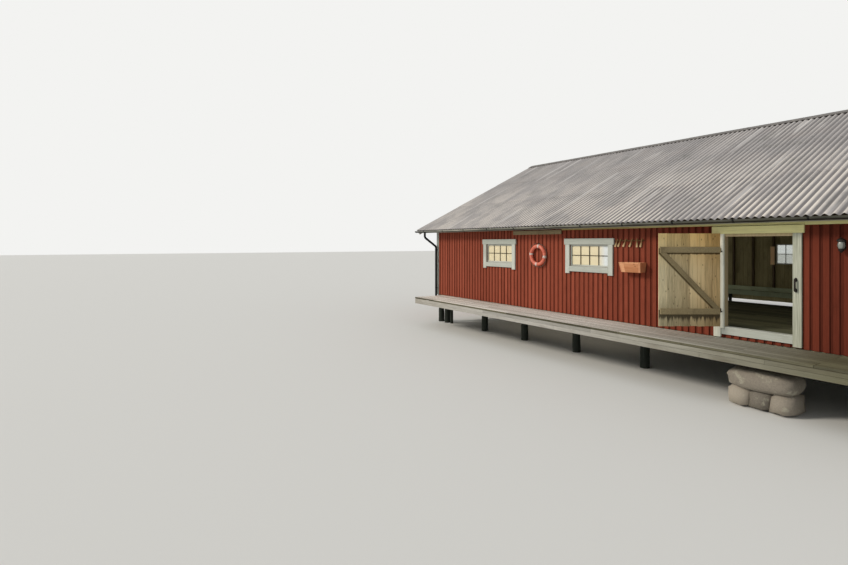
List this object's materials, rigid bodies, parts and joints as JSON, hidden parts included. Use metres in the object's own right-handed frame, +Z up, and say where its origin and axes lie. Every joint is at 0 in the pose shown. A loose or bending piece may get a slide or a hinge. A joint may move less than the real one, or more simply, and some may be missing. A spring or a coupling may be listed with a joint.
{
  "type": "boathouse",
  "caption": "Timber boathouse on piles: red boarded hall with a corrugated gable roof, a landing deck along one wall, an open boat bay and a ledged side door on strap hinges.",
  "frame": {"origin": "centre of the building's outer box, at the water line under its piles", "axes": "+X along the long wall, away from the lake gable; +Y from the deck side into the hall; +Z up"},
  "size_m": [17.82, 14.46, 7.0141],
  "materials": {
    "pile_timber": "wet, algae-dark round timber",
    "field_stone": "rough, unpointed field stone",
    "sawn_timber": "sawn, bare, darkened with age",
    "deck_boards": "weathered, silver grey",
    "floor_boards": "worn, dark bare boards",
    "red_boards": "matt red earth paint on rough boards",
    "fibre_cement": "matt, lichen-streaked sheet",
    "ridge_metal": "dull dark sheet",
    "grey_boards": "weathered, bare",
    "gutter_metal": "dull grey-brown coat",
    "black_pipe": "black, half matt",
    "white_boards": "worn pale paint on boards",
    "bare_boards": "weathered, unpainted",
    "black_iron": "black, slightly rusted",
    "orange_foam": "faded orange shell",
    "planter_wood": "oiled, orange-brown",
    "window_glass": "clear pane"
  },
  "bodies": {
    "building": {"timber_piles": "pile_timber", "stone_piers": "field_stone", "sill_beams": "sawn_timber", "deck_frame": "sawn_timber", "deck_planks": "deck_boards", "deck_edge_board": "deck_boards", "floor_frame": "sawn_timber", "floor_boards": "floor_boards", "front_wall_left": "red_boards", "front_wall_door_bay": "red_boards", "front_wall_right": "red_boards", "back_wall": "red_boards", "left_gable": "red_boards", "right_gable": "red_boards", "studs_front_left": "sawn_timber", "studs_front_right": "sawn_timber", "studs_back": "sawn_timber", "studs_left_gable": "sawn_timber", "studs_right_gable": "sawn_timber", "wall_plates": "sawn_timber", "boat_opening_frame": "sawn_timber", "rafters_front": "sawn_timber", "rafters_back": "sawn_timber", "tie_beams": "sawn_timber", "ridge_frame": "sawn_timber", "purlins_front": "sawn_timber", "purlins_back": "sawn_timber", "roof_front": "fibre_cement", "roof_back": "fibre_cement", "ridge_cap": "ridge_metal", "barge_boards": "grey_boards", "eaves_fascia": "grey_boards", "gutters": "gutter_metal", "downpipe": "black_pipe", "white_trim": "white_boards", "window_casings": "white_boards", "window_sashes": "white_boards", "window_glass_front": "window_glass", "window_glass_back": "window_glass", "window_glass_gable": "window_glass", "door_casing": "white_boards", "door_jamb": "bare_boards", "door_pintles": "black_iron", "life_ring": "orange_foam", "planter_box": "planter_wood", "wall_lantern": "black_iron", "eave_plank": "grey_boards", "peg_row": "bare_boards", "pull_handle": "black_iron"},
    "door_leaf": {"door_boards": "bare_boards", "door_ledges": "bare_boards", "door_straps": "black_iron"}
  },
  "joints": [
    {"name": "door_hinge", "type": "hinge", "parent": "building", "child": "door_leaf", "pos_m": [3.24, -5.99, 2.385], "axis": [0, 0, 1], "range_deg": [-45, 123]}
  ]
}
